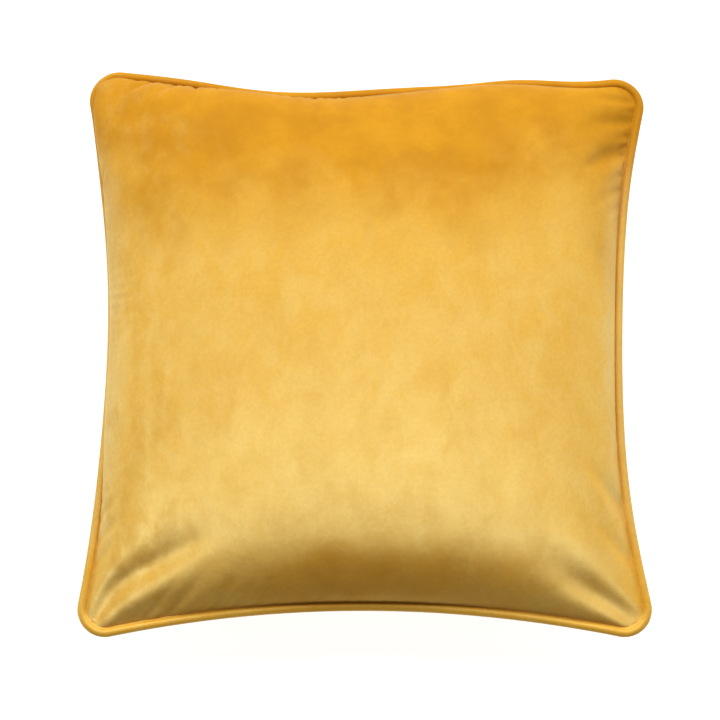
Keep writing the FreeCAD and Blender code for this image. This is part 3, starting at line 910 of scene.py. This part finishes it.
def on_zip(angle, radius, height):
    """A point beside the zip, at an angle about the centre of its curve."""
    return np.array([radius * math.sin(angle), ZIP_AXIS_Y + radius * math.cos(angle), height])


def coil_line(side, phase, reach):
    """Points of a coil's wire: a flattened helix along the zip's curve."""
    loops = int(2 * reach * ZIP_RADIUS / COIL_PITCH)
    middle = CHAIN_HEIGHT + side * (COIL_NEAR + COIL_FAR) / 2
    half_tall = (COIL_FAR - COIL_NEAR) / 2 - COIL_WIRE
    line = []
    for k in range(loops * COIL_STEPS + 1):
        turn = 2 * math.pi * k / COIL_STEPS
        angle = -reach + (k / COIL_STEPS + phase) / (loops + 1) * 2 * reach
        height = middle + side * half_tall * math.cos(turn)
        line.append(on_zip(angle, ZIP_RADIUS + COIL_HALF_DEEP * math.sin(turn), height))
    return np.array(line)


def add_coil(name, side, phase, material, replaced):
    """One half of the chain, wound from a nylon wire."""
    line = coil_line(side, phase, math.asin(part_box(replaced)[1].x / ZIP_RADIUS))
    along = unit(np.gradient(line, axis=0))
    across = unit(np.cross(along, [[0.3, 0.1, 0.95]]))
    other = np.cross(along, across)
    turns = np.linspace(0, 2 * math.pi, COIL_SIDES, endpoint=False)
    points = np.stack([line + COIL_WIRE * (across * math.cos(t) + other * math.sin(t)) for t in turns],
                      axis=1).reshape(-1, 3)
    faces = swept(len(line), COIL_SIDES)[:-COIL_SIDES]
    faces.append(tuple(range(COIL_SIDES - 1, -1, -1)))
    faces.append(tuple(range(len(points) - COIL_SIDES, len(points))))
    add_piece(name, points, faces, material, replaced)


def add_zip_stitches(material):
    """The rows of stitches that hold the tapes to the back panel, and the bars at their ends."""
    reach = math.asin(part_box("zip_thread")[1].x / SIDE_RADIUS)
    radius = WALL_RADIUS - 0.0001
    starts, ends = [], []
    for height in STITCH_ROWS:
        for k in range(ROW_STITCHES):
            begin = -reach + 2 * reach * k / ROW_STITCHES
            end = begin + 2 * reach / ROW_STITCHES * 0.84
            starts.append(on_zip(begin, radius, height))
            ends.append(on_zip(end, radius, height))
    for angle in (-reach, reach):
        for k in range(BAR_STITCHES):
            begin = STITCH_ROWS[0] + k * BAR_PITCH
            starts.append(on_zip(angle, radius, begin))
            ends.append(on_zip(angle, radius, begin + 0.0027))
    points, faces = dashes(starts, ends, 0.00024)
    add_piece("zip_stitches", points, faces, material, "zip_thread")


# ---- the pad inside

PAD_ROWS = 96
PAD_EDGE = 0.0126           # from the edge of the cover's cloth to the pad's seam
PAD_GAP = 0.0018            # from the face of the cover's cloth to the face of the pad
PAD_ROUNDING = 0.09         # how far in from its seam the pad rounds off, as a share of its side
CASING = 0.0006
BEHIND_ZIP = 0.0115         # from the seam line to the pad, which the zip's slider pushes back
FILLING_GAP = 0.0014        # from the outer face of the casing to the filling
FILLING_EDGE = 0.0015
SHARED_CELLS = 6            # cells over which both faces ease in to the line that they share
PAD_STITCH_PITCH = 0.0032


def sampled(points, edge_share):
    """The cloth's points on the pad's coarser grid, whose edge lies inside the cloth's edge."""
    size = points.shape[0] - 1
    places = np.linspace(edge_share, 1 - edge_share, PAD_ROWS + 1) * size
    for axis in (0, 1):
        points = np.moveaxis(points, axis, 0)
        low = np.minimum(places.astype(int), size - 1)
        share = (places - low)[:, None, None]
        points = points[low] * (1 - share) + points[low + 1] * share
        points = np.moveaxis(points, 0, axis)
    return points


def pad_face(cover, side, deeper=0.0, further_in=0.0):
    """One face of the pad: the cover's shape taken in, and closed down to the pad's own seam."""
    normals = grid_normals(cover, side)
    points = sampled(cover - normals * (PAD_GAP + deeper), (PAD_EDGE + further_in) / CUT_SIDE)
    steps = np.linspace(0, 1, PAD_ROWS + 1)
    u, v = np.meshgrid(steps, steps, indexing="ij")
    from_edge = np.minimum(np.minimum(u, 1 - u), np.minimum(v, 1 - v))
    rise = np.sqrt(1 - (1 - np.clip(from_edge / PAD_ROUNDING, 0, 1)) ** 2)
    seam = SEAM_HEIGHT + strayed(points)[:, :, 2] - points[:, :, 2]
    points[:, :, 2] = seam + (points[:, :, 2] - seam) * rise
    return pushed_back(points, BEHIND_ZIP + deeper)


def pushed_back(points, depth):
    """The pad's points, those that would reach the zip moved back behind it."""
    aside = points[:, :, :2] - (0.0, ZIP_AXIS_Y)
    radius = np.linalg.norm(aside, axis=2, keepdims=True)
    points[:, :, :2] += aside / radius * np.maximum(SIDE_RADIUS + depth - radius, 0)
    return points


def shared_rim(front, back):
    """Both faces with their rims on the same line, eased in over the first few cells."""
    i, j = np.indices(front.shape[:2])
    away = np.minimum(np.minimum(i, PAD_ROWS - i), np.minimum(j, PAD_ROWS - j))
    fade = np.clip(1 - away / SHARED_CELLS, 0, 1)[:, :, None] ** 2
    middle = (front + back) / 2
    return front + (middle - front) * fade, back + (middle - back) * fade


def add_casing(front, back, material):
    """The pad's two cloths."""
    for name, side, points, replaced in (("pad_front_cloth", 1, front, "pad_casing_front"),
                                         ("pad_back_cloth", -1, back, "pad_casing_back")):
        faces = grid_faces(*points.shape[:2], side < 0)
        piece = add_piece(name, points.reshape(-1, 3), faces, material, replaced)
        thicken(piece, CASING)


def add_filling(front, back, material):
    """The fibre, closed where its two faces meet."""
    rows, columns = front.shape[:2]
    faces = grid_faces(rows, columns) + grid_faces(rows, columns, True, first=rows * columns)
    points = np.vstack([front.reshape(-1, 3), back.reshape(-1, 3)])
    filling = add_piece("pad_fibre_filling", points, faces, material,
                        "pad_filling")
    weld(filling)


def add_pad_stitches(rim, material):
    """Stitches along the pad's seam."""
    count = int(lengths_along(rim)[-1] / PAD_STITCH_PITCH)
    shares = np.arange(count) / count
    points, faces = dashes(at_shares(rim, shares), at_shares(rim, shares + 0.8 / count), 0.0002)
    add_piece("pad_stitches", points, faces, material, "pad_thread")


def add_pad(front_cover, back_cover, cloth, fibre, thread):
    """The inner pad, shaped by the cover that it fills."""
    front, back = shared_rim(pad_face(front_cover, 1), pad_face(back_cover, -1))
    add_casing(front, back, cloth)
    add_filling(*shared_rim(pad_face(front_cover, 1, FILLING_GAP, FILLING_EDGE),
                            pad_face(back_cover, -1, FILLING_GAP, FILLING_EDGE)), fibre)
    add_pad_stitches(front[edge_loop(PAD_ROWS, PAD_ROWS)], thread)


def weld(piece):
    """Joins the points of a piece that coincide."""
    mesh = bmesh.new()
    mesh.from_mesh(piece.data)
    bmesh.ops.remove_doubles(mesh, verts=mesh.verts, dist=1e-6)
    mesh.to_mesh(piece.data)
    mesh.free()


# ---- the pieces

def refinish(material, *names):
    """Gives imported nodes, which show in their own shape, a finished material."""
    for name in names:
        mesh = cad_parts[name].data
        mesh.materials.clear()
        mesh.materials.append(material)


velvet_cloth = velvet("mustard_velvet")
piping_cloth = velvet("mustard_piping_velvet", unevenness_and_sheen=0.5, lean=0.0, share=0.15)
cotton = twisted_fibre("cotton_cord_yarn", linear(226, 214, 190), linear(196, 180, 150), 900.0)
gold_thread = twisted_fibre("gold_polyester_thread", linear(214, 146, 40), linear(170, 104, 22),
                            2500.0, roughness=0.5)
pad_cloth = twisted_fibre("pad_nonwoven_cloth", linear(240, 238, 232), linear(222, 218, 210), 700.0)
fibre = twisted_fibre("polyester_wadding", linear(246, 246, 244), linear(226, 226, 224), 260.0)
white_thread = twisted_fibre("white_thread", linear(238, 236, 230), linear(214, 210, 202), 2500.0)
tape = woven("zip_tape_weave", linear(212, 148, 44), linear(150, 92, 20), 0.0007)
nylon_filament = nylon("zip_nylon_filament")
zip_metal = brass("zip_metal_brass")

front_points = add_panel("front_velvet_panel", 1, velvet_cloth, "front_panel")
back_points = add_panel("back_velvet_panel", -1, velvet_cloth, "back_panel")
add_sleeve(piping_cloth)
add_cord(cotton)
add_seam_stitches(gold_thread)
add_coil("zip_upper_coil_loops", 1, 0.0, nylon_filament, "zip_coil_upper")
add_coil("zip_lower_coil_loops", -1, 0.5, nylon_filament, "zip_coil_lower")
add_zip_stitches(gold_thread)
add_pad(front_points, back_points, pad_cloth, fibre, white_thread)
refinish(tape, "zip_tape_upper", "zip_tape_lower")
refinish(nylon_filament, "zip_bottom_stop")
refinish(zip_metal, "zip_top_stops", "zip_slider", "zip_pull")


# ---- floor, lights and camera

FLOOR_SIZE = 6.0
FLOOR_GLOW = 0.92           # strength of its emission
FLOOR_LEVEL = -0.0004       # a hair below the cushion, so that their faces never coincide
CUSHION_MIDDLE = Vector((0, 0, 0.07))


def floor_material():
    """Plain and pale. It glows, as a lightbox does."""
    material, tree, place = new_material("studio_floor")
    tone = noise(tree, place, 3.0, 2.0)
    shade = mixed(tree, scaled(tree, tone, 0.02), [0.34, 0.34, 0.34, 1], [0.30, 0.30, 0.30, 1])
    shader = node(tree, "BsdfPrincipled", Base_Color=shade, Roughness=0.9,
                  Emission_Color=[1, 1, 1, 1], Emission_Strength=FLOOR_GLOW)
    return finished(material, shader)


def add_floor():
    """The floor that the cushion lies on."""
    mesh = bpy.data.meshes.new("floor")
    corners = [(x * FLOOR_SIZE, y * FLOOR_SIZE, FLOOR_LEVEL)
               for x, y in ((-1, -1), (1, -1), (1, 1), (-1, 1))]
    mesh.from_pydata(corners, [], [(0, 1, 2, 3)])
    mesh.materials.append(floor_material())
    floor = bpy.data.objects.new("floor", mesh)
    bpy.context.scene.collection.objects.link(floor)


def add_softbox(name, direction, distance, size, power):
    """An area light that looks at the cushion from a direction."""
    light = bpy.data.lights.new(name, "AREA")
    light.shape = "RECTANGLE"
    light.size, light.size_y = size
    light.energy = power
    lamp = bpy.data.objects.new(name, light)
    away = Vector(direction).normalized()
    lamp.location = CUSHION_MIDDLE + away * distance
    lamp.rotation_mode = "QUATERNION"
    lamp.rotation_quaternion = away.to_track_quat("Z", "Y")
    bpy.context.scene.collection.objects.link(lamp)


def add_world(strength):
    """A faint, even light from all round."""
    world = bpy.data.worlds.new("studio")
    world.use_nodes = True
    background = world.node_tree.nodes["Background"]
    background.inputs["Color"].default_value = (1.0, 0.99, 0.97, 1)
    background.inputs["Strength"].default_value = strength
    bpy.context.scene.world = world


def add_camera(tilt, distance, aim, lens):
    """Looks down on the cushion, tilted from the vertical towards -Y."""
    camera = bpy.data.objects.new("camera", bpy.data.cameras.new("camera"))
    camera.data.lens = lens
    camera.data.sensor_width = 36.0
    camera.data.clip_start, camera.data.clip_end = 0.05, 50.0
    back = Vector((0, -math.sin(tilt), math.cos(tilt)))
    camera.location = Vector(aim) + back * distance
    camera.rotation_mode = "QUATERNION"
    camera.rotation_quaternion = back.to_track_quat("Z", "Y")
    bpy.context.scene.collection.objects.link(camera)
    bpy.context.scene.camera = camera


add_floor()
add_softbox("key_softbox", direction=(0.0, 0.616, 0.788), distance=2.2, size=(7.0, 1.1), power=126.0)
add_world(strength=0.15)
add_camera(tilt=math.radians(7.0), distance=1.6, aim=(-0.0025, -0.0048, 0.06), lens=102.15)
bpy.context.scene.view_settings.view_transform = "Standard"
